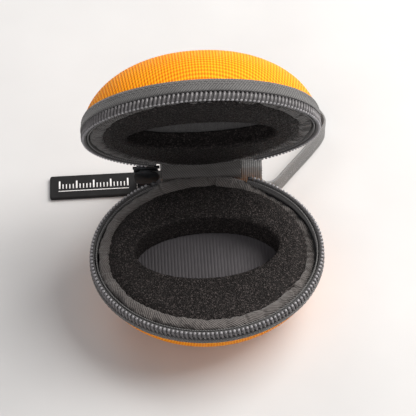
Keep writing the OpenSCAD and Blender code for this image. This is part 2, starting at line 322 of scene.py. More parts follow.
class Shader:
    """A Principled material built up from maths nodes on the piece's own cloth coordinates."""

    def __init__(self, name, colour, roughness, **inputs):
        self.material = bpy.data.materials.new(name)
        self.material.use_nodes = True
        self.tree = self.material.node_tree
        self.shader = self.tree.nodes["Principled BSDF"]
        self.shader.inputs["Base Color"].default_value = (*colour, 1)
        for socket, value in {"Roughness": roughness, **inputs}.items():
            self.put(self.shader.inputs[socket.replace("_", " ")], value)

    def node(self, kind, **settings):
        made = self.tree.nodes.new(kind)
        for key, value in settings.items():
            setattr(made, key, value)
        return made

    def put(self, socket, value):
        if isinstance(value, (int, float)):
            socket.default_value = value
        else:
            self.tree.links.new(value, socket)

    def maths(self, operation, a, b=0.0, c=0.0):
        made = self.node("ShaderNodeMath", operation=operation)
        for socket, value in zip(made.inputs, (a, b, c)):
            self.put(socket, value)
        return made.outputs[0]

    def times(self, a, b, plus=0.0):
        return self.maths("MULTIPLY_ADD", a, b, plus)

    def power(self, value, exponent):
        return self.maths("POWER", self.maths("MAXIMUM", value, 0), exponent)

    def cloth(self):
        """The two cloth coordinates, in millimetres."""
        uv = self.node("ShaderNodeUVMap", uv_map="cloth")
        split = self.node("ShaderNodeSeparateXYZ")
        self.put(split.inputs[0], uv.outputs[0])
        return split.outputs[0], split.outputs[1]

    def place(self):
        """The point on the object, in millimetres."""
        spot = self.node("ShaderNodeTexCoord")
        grow = self.node("ShaderNodeVectorMath", operation="SCALE")
        self.put(grow.inputs[0], spot.outputs["Object"])
        self.put(grow.inputs["Scale"], 1 / MM)
        return grow.outputs[0]

    def wave(self, value, pitch):
        """A sine from -1 to 1 along value."""
        return self.maths("SINE", self.times(value, 2 * pi / pitch))

    def texture(self, kind, size, **settings):
        """A procedural texture with features of about that many millimetres."""
        made = self.node("ShaderNodeTex" + kind, **settings)
        self.put(made.inputs["Vector"], self.place())
        self.put(made.inputs["Scale"], 1 / size)
        return made

    def noise(self, size):
        """Cloudy noise from 0 to 1."""
        made = self.texture("Noise", size)
        self.put(made.inputs["Detail"], 3)
        return made.outputs["Fac"]

    def cells(self, size, feature="F1"):
        return self.texture("Voronoi", size, feature=feature).outputs["Distance"]

    def colour(self, value, stops):
        stops = list(stops)
        made = self.node("ShaderNodeValToRGB")
        self.put(made.inputs[0], value)
        elements = made.color_ramp.elements
        while len(elements) < len(stops):
            elements.new(0.5)
        for element, (position, colour) in zip(elements, stops):
            element.position = position
            element.color = (*colour, 1)
        self.put(self.shader.inputs["Base Color"], made.outputs[0])

    def rough(self, value, low, high):
        self.put(self.shader.inputs["Roughness"], self.times(value, high - low, low))

    def bump(self, height, depth):
        """Relief of a height from 0 to 1, that many millimetres deep."""
        made = self.node("ShaderNodeBump")
        for socket, value in (("Strength", 1), ("Distance", depth * MM), ("Height", height)):
            self.put(made.inputs[socket], value)
        self.put(self.shader.inputs["Normal"], made.outputs[0])


def orange_nylon():
    s = Shader("orange_nylon", (1, 0.3, 0.01), 0.55, Specular_IOR_Level=0.12)
    u, v = s.cloth()
    pitch = 1.8
    knots = s.times(s.wave(u, pitch), s.wave(v, pitch))
    height = s.power(s.times(knots, 0.62, 0.38), 0.7)
    thread = s.wave(s.maths("ADD", u, v), 0.3)
    relief = s.maths("ADD", height, s.times(thread, 0.06))
    # Painted highlight and shade: the knot tops are painted lighter and yellower and the gaps between them
    # darker; the noise adds a random tone
    mottled = s.times(s.noise(14), 0.25, s.times(height, 0.85))
    s.colour(mottled, ((0.0, (0.78, 0.150, 0.001)), (0.45, (0.95, 0.275, 0.002)), (1.0, (1.0, 0.46, 0.006))))
    s.rough(height, 0.62, 0.42)
    s.bump(relief, 0.3)
    return s.material


def twill(name, dark, light, pitch, depth, roughness=0.7, shine=0.3, lumps=9.0):
    """Cloth with fine slanting ribs."""
    s = Shader(name, light, roughness, Sheen_Weight=shine, Sheen_Roughness=0.35)
    u, v = s.cloth()
    rib = s.wave(s.maths("ADD", u, s.times(v, 0.8)), pitch)
    cross = s.wave(s.maths("SUBTRACT", u, s.times(v, 1.1)), pitch * 0.62)
    height = s.times(rib, 0.35, s.times(cross, 0.15, 0.5))
    # The tone is partly a random tone and partly painted shade: the raised ribs are painted lighter and the
    # hollows between them darker
    tone = s.times(s.noise(lumps), 0.35, s.times(height, 0.65))
    s.colour(tone, ((0.2, dark), (0.8, light)))
    s.rough(height, roughness + 0.12, roughness - 0.08)
    s.bump(height, depth)
    return s.material


def ribbed(name, dark, light, pitch, depth):
    """Cloth with straight ribs and a fine weave over them."""
    s = Shader(name, light, 0.75, Sheen_Weight=0.25, Sheen_Roughness=0.4)
    u, v = s.cloth()
    rib = s.maths("ABSOLUTE", s.wave(u, 2 * pitch))
    pick = s.wave(v, pitch * 0.7)
    height = s.times(pick, 0.12, s.times(rib, 0.8))
    # The tone is partly a random tone and partly painted shade: the raised ribs are painted lighter and the
    # valleys between them darker
    tone = s.times(s.noise(7), 0.35, s.times(height, 0.65))
    s.colour(tone, ((0.1, dark), (0.8, light)))
    s.bump(height, depth)
    return s.material


def webbing(name, dark, light, pitch, width, edge, shine=0.3):
    """Woven webbing in chevrons, with a selvage on both edges; v runs over the width."""
    s = Shader(name, light, 0.6, Sheen_Weight=shine, Sheen_Roughness=0.35, Specular_IOR_Level=shine + 0.1)
    u, v = s.cloth()
    slope = s.maths("PINGPONG", v, width / 4)
    chevron = s.wave(s.maths("ADD", u, s.times(slope, 1.2)), pitch)
    yarns = s.wave(v, pitch * 0.8)
    height = s.times(chevron, 0.3, s.times(yarns, 0.2, 0.5))
    off = s.maths("ABSOLUTE", s.maths("SUBTRACT", v, width / 2))
    selvage = s.maths("GREATER_THAN", off, width / 2 - edge)
    # The selvage is the webbing's own lighter edge; the rest of the tone is painted shade, the hollows of
    # the weave darker than its raised yarns
    tone = s.times(selvage, 0.25, s.times(height, 0.7))
    s.colour(tone, ((0.1, dark), (0.9, light)))
    s.rough(height, 0.7, 0.5)
    s.bump(height, 0.18)
    return s.material


def open_foam(name, level):
    """Black foam of open cells, with a painted glint on a few cells and painted light on the tops of the
    cell walls.
    """
    s = Shader(name, (0.02, 0.018, 0.018), 0.8, Specular_IOR_Level=0.2)
    split = s.node("ShaderNodeSeparateColor")
    s.put(split.inputs[0], s.texture("Voronoi", 0.4).outputs["Color"])
    # Painted glint: a few random cells are made light in the base colour
    glint = s.power(split.outputs[0], 3)
    walls = s.maths("SUBTRACT", 1, s.times(s.cells(0.95, "DISTANCE_TO_EDGE"), 2.4))
    fine = s.maths("SUBTRACT", 1, s.times(s.cells(0.42, "DISTANCE_TO_EDGE"), 2.2))
    height = s.times(fine, 0.35, s.times(walls, 0.65))
    # Painted light: the tops of the cell walls are lighter and the pits between them darker
    lit = s.power(height, 3)
    tone = s.times(glint, 0.60, s.times(lit, 0.42))
    tones = ((0.0036, 0.0030, 0.0029), (0.018, 0.0150, 0.0146), (0.15, 0.126, 0.122))
    s.colour(tone, [(at, [channel * level for channel in rgb]) for at, rgb in zip((0.0, 0.4, 1.0), tones)])
    s.rough(split.outputs[1], 0.4, 0.95)
    s.bump(height, 0.5)
    return s.material


def thread(name, dark, light):
    s = Shader(name, light, 0.6, Sheen_Weight=0.3)
    twist = s.texture("Wave", 0.625, bands_direction="DIAGONAL").outputs["Fac"]
    # Painted shade: the grooves of the twist are darker than its ridges
    s.colour(twist, ((0.2, dark), (0.8, light)))
    s.bump(twist, 0.05)
    return s.material


def tab_rubber():
    s = Shader("tab_rubber", (0.012, 0.012, 0.013), 0.55, Specular_IOR_Level=0.2)
    s.colour(s.noise(6), ((0.2, (0.006, 0.006, 0.0065)), (0.8, (0.014, 0.014, 0.0155))))
    s.rough(s.noise(2), 0.5, 0.7)
    s.bump(s.cells(0.5), 0.04)
    return s.material


def mottled(name, dark, light, span, lumps, relief, gloss, **inputs):
    """Moulded or printed stuff. relief is (grain, depth); gloss is (patches, low, high) or one number."""
    even = isinstance(gloss, float)
    s = Shader(name, light, gloss if even else gloss[1], **inputs)
    s.colour(s.noise(lumps), zip(span, (dark, light)))
    if not even:
        s.rough(s.noise(gloss[0]), *gloss[1:])
    s.bump(s.noise(relief[0]), relief[1])
    return s.material


GREY_D, GREY_L = (0.055, 0.054, 0.055), (0.150, 0.147, 0.147)
ROLL_WEAVE = (1.25, 0.3, 0.62)
COIL_LOOK = ((0.3, 0.7), 1.6, (0.35, 0.03), (0.7, 0.28, 0.48))
COIL_COAT = {"Coat_Weight": 0.1, "Coat_Roughness": 0.3}
METAL_LOOK = ((0.3, 0.75), 3, (0.3, 0.02), (1.2, 0.38, 0.6))
MATERIALS = {
    "skin": orange_nylon(),
    "base_roll": twill("roll_twill", (0.040, 0.035, 0.033), (0.175, 0.157, 0.150), *ROLL_WEAVE, 0.3, 6.0),
    # The lid's roll is the same roll cloth painted darker: painted shade for the lid's shaded inside
    "lid_roll": twill("roll_twill_shaded", (0.014, 0.013, 0.0125), (0.074, 0.068, 0.066), *ROLL_WEAVE, 0.25,
                      6.0),
    "tape": twill("tape_twill", GREY_D, GREY_L, 1.1, 0.22, 0.66, 0.35),
    "lining": twill("lining_knit", (0.04, 0.041, 0.045), (0.09, 0.092, 0.10), 0.8, 0.1),
    "base_floor": ribbed("floor_knit", (0.042, 0.039, 0.043), (0.110, 0.102, 0.112), 0.5, 0.08),
    # The lid's floor knit is the base's knit painted darker: painted shade inside the lid
    "lid_floor": ribbed("lid_floor_knit", (0.008, 0.0074, 0.008), (0.027, 0.025, 0.027), 0.5, 0.10),
    "base_foam": open_foam("open_cell_foam", 0.86),
    # The lid's foam is the same foam at a lower level: painted shade inside the lid
    "lid_foam": open_foam("lid_cell_foam_painted_shade", 0.62),
    "core": twill("shell_core", (0.02, 0.02, 0.022), (0.05, 0.05, 0.055), 1.4, 0.05),
    "coil": mottled("coil_nylon", (0.085, 0.080, 0.084), (0.165, 0.158, 0.166), *COIL_LOOK, **COIL_COAT),
    # The heads are the coil's nylon painted lighter: a painted highlight on the top-facing heads
    "coil_head": mottled("coil_heads_painted_highlight", (0.21, 0.205, 0.218), (0.35, 0.342, 0.360), *COIL_LOOK, **COIL_COAT),
    "cord": thread("coil_cord", (0.030, 0.029, 0.030), (0.060, 0.058, 0.060)),
    "thread": thread("grey_thread", (0.11, 0.107, 0.107), (0.20, 0.195, 0.195)),
    "white_thread": thread("white_thread", (0.25, 0.25, 0.25), (0.5, 0.5, 0.5)),
    "strip": twill("strip_twill", (0.026, 0.024, 0.023), (0.105, 0.098, 0.095), 1.1, 0.15, 0.5, 0.3, 6.0),
    "ribbon": ribbed("grosgrain", (0.10, 0.10, 0.10), (0.30, 0.30, 0.295), 0.9, 0.25),
    "metal": mottled("black_metal", (0.010, 0.011, 0.013), (0.028, 0.030, 0.034), *METAL_LOOK, Metallic=0.7),
    "stops": mottled("worn_metal", (0.06, 0.06, 0.064), (0.12, 0.12, 0.126), *METAL_LOOK, Metallic=0.7),
    "pull_webbing": webbing("black_webbing", (0.006, 0.006, 0.0075), (0.024, 0.025, 0.030), 0.8, 9.0, 0.7,
                            0.08),
    "tab": tab_rubber(),
    "ticks": mottled("tick_print", (0.66, 0.66, 0.67), (0.9, 0.9, 0.91), (0.25, 0.6), 0.6, (0.4, 0.02),
                     0.55),
    "floor": mottled("studio_floor", (0.56, 0.56, 0.565), (0.62, 0.62, 0.625), (0.2, 0.8), 60, (2.5, 0.02),
                     0.7),
    "strap": webbing("grey_webbing", (0.06, 0.06, 0.06), (0.22, 0.22, 0.22), 0.9, 11.0, 0.9),
}


# ---- camera, lights and floor ----


def add_camera():
    """Looks down on the open case from the front, a little from its left."""
    target = Vector((0, 0, HALF_H))
    elevation, swing, roll = (radians(a) for a in (52.568, 2.053, 1.5))
    back = Vector((-cos(elevation) * sin(swing), -cos(elevation) * cos(swing), sin(elevation)))
    right = Vector((cos(swing), -sin(swing), 0))
    up = back.cross(right)
    turned = right * cos(roll) - up * sin(roll)
    upright = up * cos(roll) + right * sin(roll)
    data = bpy.data.cameras.new("camera")
    data.lens, data.sensor_width = 138.46, 36
    camera = add_object("camera", data)
    place = target + back * 0.68262 + right * 0.00096 + up * 0.0175
    axes = Matrix((turned, upright, back)).transposed().to_4x4()
    camera.matrix_world = Matrix.Translation(place) @ axes
    data.clip_start, data.clip_end = 0.01, 50
    bpy.context.scene.camera = camera


def area_light(name, place, target, size, power, colour=(1, 1, 1)):
    data = bpy.data.lights.new(name, "AREA")
    data.shape = "RECTANGLE"
    data.size, data.size_y = size
    data.energy = power
    data.color = colour
    light = add_object(name, data)
    light.location = place
    light.rotation_mode = "QUATERNION"
    light.rotation_quaternion = (Vector(target) - Vector(place)).to_track_quat("-Z", "Y")


def add_stage():
    bpy.ops.mesh.primitive_plane_add(size=6, location=(0, 0, 0))
    floor = bpy.context.object
    floor.name = "studio_floor"
    floor.data.materials.append(MATERIALS["floor"])
    area_light("overhead_softbox", (0.55, 0.30, 0.76), (0, 0, 0.03), (0.8, 0.6), 13.5, (1, 0.97, 0.93))
    area_light("front_fill", (-0.45, -0.95, 0.7), (0, 0, 0.04), (0.9, 0.9), 4.6, (1, 0.97, 0.96))
    area_light("right_fill", (0.95, 0.25, 0.30), (0, 0, 0.07), (0.5, 0.5), 3.6, (1, 0.98, 0.95))
    area_light("back_rim", (-0.35, 0.9, 0.6), (0, 0.03, 0.06), (0.6, 0.4), 2.0)
    world = bpy.data.worlds.new("studio")
    world.use_nodes = True
    world.node_tree.nodes["Background"].inputs[0].default_value = (0.90, 0.88, 0.88, 1)
    world.node_tree.nodes["Background"].inputs[1].default_value = 0.30
    bpy.context.scene.world = world
    bpy.context.scene.view_settings.view_transform = "Standard"


# ---- one half of the case ----

AROUND = 240


def ring_sweep(name, half, section_at, material, gap=0.0, pitch=1.2 * MM):
    """A section carried round the oval. section_at takes an angle to (radius, z) pairs."""
    angles, length = even_angles(RIM_R - 2 * MM, pitch, gap)
    if not gap:
        angles = angles[:-1]
    sections = [section_at(a) for a in angles]
    rings = [[oval_point(r, a, z) for r, z in section] for a, section in zip(angles, sections)]
    step = length / len(angles) / MM
    run = running([Vector(p) for p in sections[0] + sections[0][:1]])
    return sweep_piece(name, rings, half, material, closed=not gap,
                       uv=lambda i, j: (i * step, run[j]), place=half_matrix(half))


def dome_line(top, inset, steps):
    """Radius and height down the dome, from a depth to the foot."""
    line = []
    for i in range(steps + 1):
        depth = top + (HALF_H - inset - top) * sin(pi / 2 * i / steps)
        line.append((dome_r(depth) - inset, -depth))
    return line


def add_skin(half):
    """The woven skin, cut flat and pressed over the dome, so the weave runs square across the top."""
    outer = dome_line(SHELL_TOP, 0, 22)
    foot_r = outer[-1][0]
    outer += [(foot_r * share, -HALF_H) for share in (0.93, 0.8, 0.6, 0.4, 0.2, 0.02)]
    inner = dome_line(SHELL_TOP, SKIN_T * 0.9, 10)
    inner += [(inner[-1][0] * share, -HALF_H + SKIN_T * 0.9) for share in (0.6, 0.02)]
    section = outer + inner[::-1]
    run = running([Vector(p) for p in outer[::-1]])
    reach = run[::-1] + [run[-1]] * len(inner)
    points, uv_of = [], []
    matrix = half_matrix(half)
    for i in range(AROUND):
        angle = 2 * pi * i / AROUND
        for (r, z), far in zip(section, reach):
            points.append(matrix @ oval_point(r, angle, z))
            cloth = 0.45 * far + 0.55 * r / MM
            u, v = cloth * cos(angle), cloth * sin(angle) * OVAL
            uv_of.append(((u + v) * 0.7071, (v - u) * 0.7071))
    count, last = len(section), len(outer) - 1
    sides = [(j, j + 1) for j in range(count - 1) if j != last] + [(0, count - 1)]
    faces = []
    for i in range(AROUND):
        a, b = i * count, (i + 1) % AROUND * count
        faces += [[a + j, b + j, b + k, a + k] for j, k in sides]
    faces += [[i * count + j for i in range(AROUND)] for j in (last, last + 1)]
    uvs = [uv_of[k] for face in faces for k in face]
    piece = make_piece(f"{half}_woven_skin", points, faces, half, "skin", uvs)
    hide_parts(f"{half}_skin")


def add_tape(half):
    """The zipper tape: an upright behind the teeth, a shelf under them and a band down the dome."""
    top, shelf, low = 1.0 * MM, COIL_H + 0.2 * MM, TAPE_H[half]
    wall, gap = TAPE_WALL_R, 0.08 * MM
    shift = 3.0 if half == "base" else 8.0

    def section(angle):
        wave = 0.10 * MM * noise.noise(Vector((cos(angle) * 9, sin(angle) * 9, shift)))
        band = [shelf + 0.35 * MM + (low - shelf - 0.35 * MM) * i / 6 for i in range(7)]
        out = [(dome_r(z) + TAPE_T + gap + wave * i / 6, -z) for i, z in enumerate(band)]
        back = [(dome_r(z) + gap, -z) for z in band]
        hem = [(out[-1][0] - 0.12 * MM, -low - 0.14 * MM), (back[-1][0] + 0.12 * MM, -low - 0.14 * MM)]
        upright = [(wall + 0.08 * MM, -top), (wall + TAPE_T - 0.08 * MM, -top + 0.02 * MM),
                   (wall + TAPE_T, -top - 0.12 * MM), (wall + TAPE_T, -shelf)]
        corner = [(out[0][0] - 0.45 * MM, -shelf), (out[0][0] - 0.12 * MM, -shelf - 0.08 * MM)]
        inside = [(wall, -shelf - 0.6 * MM), (wall, -top - 0.1 * MM)]
        return upright + corner + out + hem + back[::-1] + inside

    piece = ring_sweep(f"{half}_tape_band", half, section, "tape", TOOTH_GAP - 3 * MM)
    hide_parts(f"{half}_zipper_tape")


def tooth_frame(angle):
    radius = TAPE_WALL_R + TAPE_T + 0.05 * MM + COIL_T / 2
    return oval_point(radius, angle, 0), -along(angle), outward(angle)


def add_coil(half):
    """Turns of nylon coil: an upright leg outside, a flattened head on top and a slanting leg inside."""
    angles, _ = even_angles(TAPE_WALL_R + TAPE_T + COIL_T / 2, 1.8 * MM, TOOTH_GAP)
    shift = 0.0 if half == "base" else 0.25
    wire = 1.12 * MM
    path = [(-0.34, 0.72, -3.7), (-0.18, 0.84, -2.4), (-0.04, 0.76, -1.2), (0.02, 0.35, -0.85),
            (0.10, -0.35, -1.7), (0.18, -0.72, -2.4), (0.30, -0.78, -3.0), (0.42, -0.7, -3.6),
            (0.54, 0.0, -3.7)]
    coil, teeth, heads = [], Parts(), Parts()
    for i, angle in enumerate(angles[:-1]):
        turn = angles[i + 1] - angle
        for share, out, z in path:
            middle, _, normal = tooth_frame(angle + turn * (share + shift))
            coil.append(middle + normal * (out * MM) + Z * (z * MM))
        middle, tangent, normal = tooth_frame(angle + turn * (0.03 + shift))
        head = middle + normal * (0.42 * MM) - Z * (0.60 * MM)
        heads.block(head, tangent, normal, Z, (1.02 * MM, 1.05 * MM, 0.80 * MM), 0.26 * MM)
    rings = []
    for i, point in enumerate(coil):
        ahead = heading(coil, i)
        side = ahead.cross(Vector((0.3, 0.2, 0.93))).normalized()
        rings.append(round_section(point, side, ahead.cross(side), wire, wire, 6))
    teeth.sweep(rings)
    matrix = half_matrix(half)
    # The heads get the lighter nylon, a painted highlight
    heads.piece(f"{half}_coil_heads_painted_highlight", half, "zipper_coil", "coil_head", matrix)
    centre, wide, top, low = TAPE_WALL_R + TAPE_T + COIL_T / 2, 0.72 * MM, -0.7 * MM, -3.5 * MM
    corners = ((-wide, top - 0.3 * MM), (-wide * 0.5, top), (wide * 0.5, top), (wide, top - 0.3 * MM),
               (wide, low), (-wide, low))
    ring_sweep(f"{half}_coil_cord", half, lambda angle: [(centre + r, z) for r, z in corners],
               "cord", TOOTH_GAP)
    piece = teeth.piece(f"{half}_coil_teeth", half, "zipper_coil", "coil", matrix)
    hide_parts(f"{half}_zipper_coil")


def add_tape_thread(half):
    """Two rows of lockstitch through the band of the tape."""
    parts = Parts()
    for depth in (TAPE_H[half] - 0.9 * MM, TAPE_H[half] - 1.9 * MM):
        radius = dome_r(depth) + TAPE_T + 0.06 * MM
        angles, _ = even_angles(radius, 2.4 * MM, TOOTH_GAP)
        for a, b in zip(angles, angles[1:]):
            start, end = a + (b - a) * 0.08, a + (b - a) * 0.9
            points = [oval_point(radius, t, -depth) for t in (start, end)]
            parts.stitch(points[0], points[1], outward((a + b) / 2), 0.3 * MM)
    piece = parts.piece(f"{half}_tape_thread", half, "grey_thread", "thread", half_matrix(half))
    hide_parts(f"{half}_tape_stitching")


FILL_FRAMES = 20
# Cloth cut a tenth too large, so that it gathers, over a filling that presses it out
ROLL_CLOTH = {
    "quality": 5, "mass": 0.02, "air_damping": 2.0, "tension_stiffness": 12, "compression_stiffness": 12,
    "bending_stiffness": 0.02, "shrink_min": -0.1, "shrink_max": -0.1, "use_pressure": True,
    "uniform_pressure_force": 4,
}
ROLL_ROWS = 22
HELD_ROWS = (0, 1, 2, 18, 19, 20, 21)
# Folds across the roll: middle and width in degrees, and depth in millimetres
ROLL_FOLDS = {
    "base": ((-19.9, 2.2, 0.9), (-25.5, 1.8, -0.5), (96, 0.9, 1.1), (38, 2.0, 0.7), (52, 1.8, 0.8),
             (28, 1.6, 0.6), (8, 2.0, 0.5)),
    "lid": ((-62, 2.4, 0.5), (12, 2.0, 0.5), (84, 0.9, 1.1), (200, 2.0, 0.45)),
}


def roll_pucker(half, angle, level):
    """How far the cloth of the roll stands out or in, for its height on the roll from 0 to 1."""
    seed = 2.0 if half == "base" else 17.0
    at = Vector((cos(angle), sin(angle), 0))
    slow = noise.noise(at * 6 + Vector((seed, 0, level * 0.5)))
    gather = noise.noise(at * 19 + Vector((0, seed, level * 0.9)))
    fine = noise.noise(at * 44 + Vector((seed, seed, level * 1.5)))
    wrinkled = 1 + 1.2 * max(0.0, cos(angle - 0.35)) if half == "base" else 1
    out = 0.45 * slow + (0.55 * gather + 0.24 * fine) * wrinkled
    for middle, width, depth in ROLL_FOLDS[half]:
        off = degrees(angle) - middle - 6 * (level - 0.5)
        off = (off + 180) % 360 - 180
        out -= depth * exp(-((off / width) ** 2))
    return out * MM


def lid_ends(half, angle):
    """1 at the lid's front and back, where its foam comes out over the roll, falling to 0 at its sides."""
    return abs(sin(angle)) ** 6 if half == "lid" else 0.0


def roll_reach(half, angle):
    """How far the roll leans in over the foam."""
    fat = 1.7 * sin(angle) ** 2 if half == "base" else 1.5 * cos(angle) ** 2
    return (0.9 + fat - 3.0 * lid_ends(half, angle)) * MM


def roll_crown(half, angle):
    """How far the roll's crown lies below the rim; the base's is pressed down at its right."""
    press = 2.7 * max(0.0, cos(angle - radians(14))) ** 2 if half == "base" else 0.0
    return (0.8 + press) * MM


def fill_cloth(piece, is_held, most):
    """Swells a padded piece by simulation, held by its hidden lower rows, and keeps the shape it takes."""
    mesh = piece.data
    start = [v.co.copy() for v in mesh.vertices]
    held = piece.vertex_groups.new(name="held")
    held.add([i for i in range(len(start)) if is_held(i)], 1.0, "REPLACE")
    cloth = piece.modifiers.new("fill", "CLOTH")
    for setting, value in ROLL_CLOTH.items():
        setattr(cloth.settings, setting, value)
    cloth.settings.vertex_group_mass = held.name
    cloth.settings.effector_weights.gravity = 0
    cloth.point_cache.frame_start, cloth.point_cache.frame_end = 1, FILL_FRAMES
    scene = bpy.context.scene
    for frame_now in range(1, FILL_FRAMES + 1):
        scene.frame_set(frame_now)
    filled = piece.evaluated_get(bpy.context.evaluated_depsgraph_get())
    ends = [v.co.copy() for v in filled.data.vertices]
    piece.modifiers.remove(cloth)
    piece.vertex_groups.remove(held)
    scene.frame_set(1)
    for vertex, was, now in zip(mesh.vertices, start, ends):
        move = now - was
        vertex.co = was + move * min(1.0, most / max(move.length, 1e-9))
    mesh.update()


def add_roll(half):
    """The padded roll round the inside of the rim, puckered where its cloth is gathered."""
    crown_h = 2.5 * MM

    def section(angle):
        back = min(1.0, max(0.0, (sin(angle) - 0.84) / 0.08))
        outer = TAPE_WALL_R + (2.4 * back - 0.8) * MM
        top = -roll_crown(half, angle) - crown_h
        inner = FOAM_R - roll_reach(half, angle)
        half_w, middle = (outer - inner) / 2, (outer + inner) / 2
        foot = FOAM_R + 0.15 * MM
        line = [(foot, -ROLL_H), (foot, -6.8 * MM), (FOAM_R - 0.1 * MM, -5.4 * MM)]
        for k in range(15):
            a = pi * (1 - k / 14)
            level = sin(a)
            pucker = roll_pucker(half, angle, level)
            side = pucker * (0.4 + 0.6 * level) * (1.0 if a > pi / 2 else 0.35)
            lift = min(0.8 * pucker - 0.3 * MM, 0.12 * MM)
            line.append((middle + (half_w + side) * cos(a), top + (crown_h + lift) * level**0.8))
        line += [(outer, -5.2 * MM), (outer - 0.2 * MM, -5.8 * MM), (outer - 1.0 * MM, -7 * MM),
                 (outer - 1.6 * MM, -ROLL_H)]
        return line

    piece = ring_sweep(f"{half}_roll_pad", half, section, f"{half}_roll", 0.0, 0.8 * MM)
    fill_cloth(piece, lambda i: i % ROLL_ROWS in HELD_ROWS, 0.7 * MM)
    smoother = piece.modifiers.new("smooth", "SUBSURF")
    smoother.levels = smoother.render_levels = 1
    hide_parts(f"{half}_rim_roll")


def foam_pit(point, seed):
    """Depth of the open cells of the foam at a point."""
    where = point / (1.15 * MM) + Vector((seed, seed * 2, 0))
    distances, _ = noise.voronoi(where)
    return (distances[1] - distances[0] - 0.25) * 0.34 * MM


def foam_level(near_slot, near_rim, drop):
    """Depth of the foam's top: a soft lip at the slot, and a shoulder of a given drop under the roll."""
    lip = 0.75 * MM * max(0.0, 1 - near_slot / (1.7 * MM)) ** 2
    shoulder = drop * max(0.0, 1 - near_rim / (5 * MM)) ** 1.4
    return 0.12 * MM + lip + shoulder


def add_foam(half):
    """The foam ring: its oval slot, soft lips and open cells."""
    depth = SLOT_H[half] - 0.1 * MM
    seed = 3.0 if half == "base" else 11.0
    count, across = 420, 32
    down = max(8, round(depth / (0.5 * MM)))
    lip_z = foam_level(0, 1, 0)
    middle = Vector((0, SLOT_BACK[half], 0))
    points = []
    matrix = half_matrix(half)
    for i in range(count):
        angle = 2 * pi * i / count
        ends = lid_ends(half, angle)
        drop = (2.4 - 1.7 * ends) * MM
        rim = oval_point(FOAM_R + 3.2 * MM * ends, angle, 0)
        slot = middle + Vector((SLOT_X * cos(angle), SLOT_Y * sin(angle), 0))
        width = (rim - slot).length
        for z in (depth, depth * 0.75, depth * 0.5, depth * 0.3):
            points.append(matrix @ Vector((rim.x, rim.y, -z)))
        for k in range(across):
            share = 1 - k / across
            point = slot.lerp(rim, share)
            point.z = -foam_level(width * share, width * (1 - share), drop)
            point.z -= foam_pit(point, seed)
            points.append(matrix @ point)
        away = Vector((cos(angle) * SLOT_Y, sin(angle) * SLOT_X, 0)).normalized()
        wander = 0.45 * MM * noise.noise(Vector((cos(angle) * 1.7 + seed, sin(angle) * 1.7, 0)))
        for k in range(down + 1):
            t = k / down
            bow = (0.4 * MM * sin(pi * t) + wander) * min(1, 3 * t)
            wall = Vector((slot.x, slot.y, -lip_z - (depth - lip_z) * t)) + away * bow
            points.append(matrix @ (wall + away * foam_pit(wall, seed)))
    section = 4 + across + down + 1
    faces, _ = grid_faces(count, section, True)
    piece = make_piece(f"{half}_foam_ring", points, faces, half, f"{half}_foam")
    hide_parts(f"{half}_foam_insert")


def add_floor_pad(half):
    """The knit-covered pad under the slot, with ribs from front to back."""
    top, low = SLOT_H[half] + 0.1 * MM, SLOT_H[half] + PAD_H - 0.3 * MM
    half_w, half_d = SLOT_X + 6 * MM, SLOT_Y + 6 * MM
    pitch, per_rib = 1.434 * MM, 8
    columns = round(2 * half_w * 0.985 / pitch) * per_rib
    across = 30
    rings, uv_rows = [], []
    for i in range(columns + 1):
        x = (2 * i / columns - 1) * half_w * 0.985
        reach = half_d * (1 - (abs(x) / half_w) ** 2.4) ** (1 / 2.4)
        rib = abs(sin(pi * x / pitch)) ** 0.6
        ring = []
        for j in range(across + 1):
            y = (2 * j / across - 1) * reach
            crown = 0.35 * MM * (1 - (x / half_w) ** 2) * (1 - (y / half_d) ** 2)
            sag = 0.12 * MM * noise.noise(Vector((x, y, 0)) / (9 * MM))
            ring.append(Vector((x, y + SLOT_BACK[half], -top - 0.62 * MM + crown + sag + 0.27 * MM * rib)))
        ring += [Vector((x, side * reach * 0.97 + SLOT_BACK[half], -low)) for side in (1, -1)]
        rings.append(ring)
        uv_rows.append([(p.x / MM, p.y / MM) for p in ring])
    piece = sweep_piece(f"{half}_floor_knit", rings, half, f"{half}_floor",
                        uv=lambda i, j: uv_rows[i][j % len(uv_rows[i])], place=half_matrix(half))
    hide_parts(f"{half}_floor_pad")


def add_half(half):
    add_skin(half)
    add_tape(half)
    add_coil(half)
    add_tape_thread(half)
    add_roll(half)
    add_foam(half)
    add_floor_pad(half)
    use_material(f"{half}_core", "core")
    use_material(f"{half}_lining", "lining")


# ---- hinge ----


def lid_point(out, up):
    """A point on the lid: distance out from the hinge line and height up its wall."""
    return Vector((0, HINGE_Y + out * cos(OPEN_ANGLE) + up * sin(OPEN_ANGLE),
                   HINGE_Z - out * sin(OPEN_ANGLE) + up * cos(OPEN_ANGLE)))


def smooth_line(points, steps):
    """A Catmull-Rom curve through points."""
    out = []
    last = len(points) - 1
    for i in range(last):
        p0, p1, p2, p3 = (points[min(max(k, 0), last)] for k in (i - 1, i, i + 1, i + 2))
        for k in range(steps):
            t = k / steps
            out.append(0.5 * (2 * p1 + (p2 - p0) * t + (2 * p0 - 5 * p1 + 4 * p2 - p3) * t**2
                              + (3 * p1 - p0 - 3 * p2 + p3) * t**3))
    out.append(points[last].copy())
    return out


def side_points(y, z, offsets):
    """Points in the Y-Z plane at offsets, in millimetres, from a place."""
    return [Vector((0, y + out * MM, z + up * MM)) for out, up in offsets]


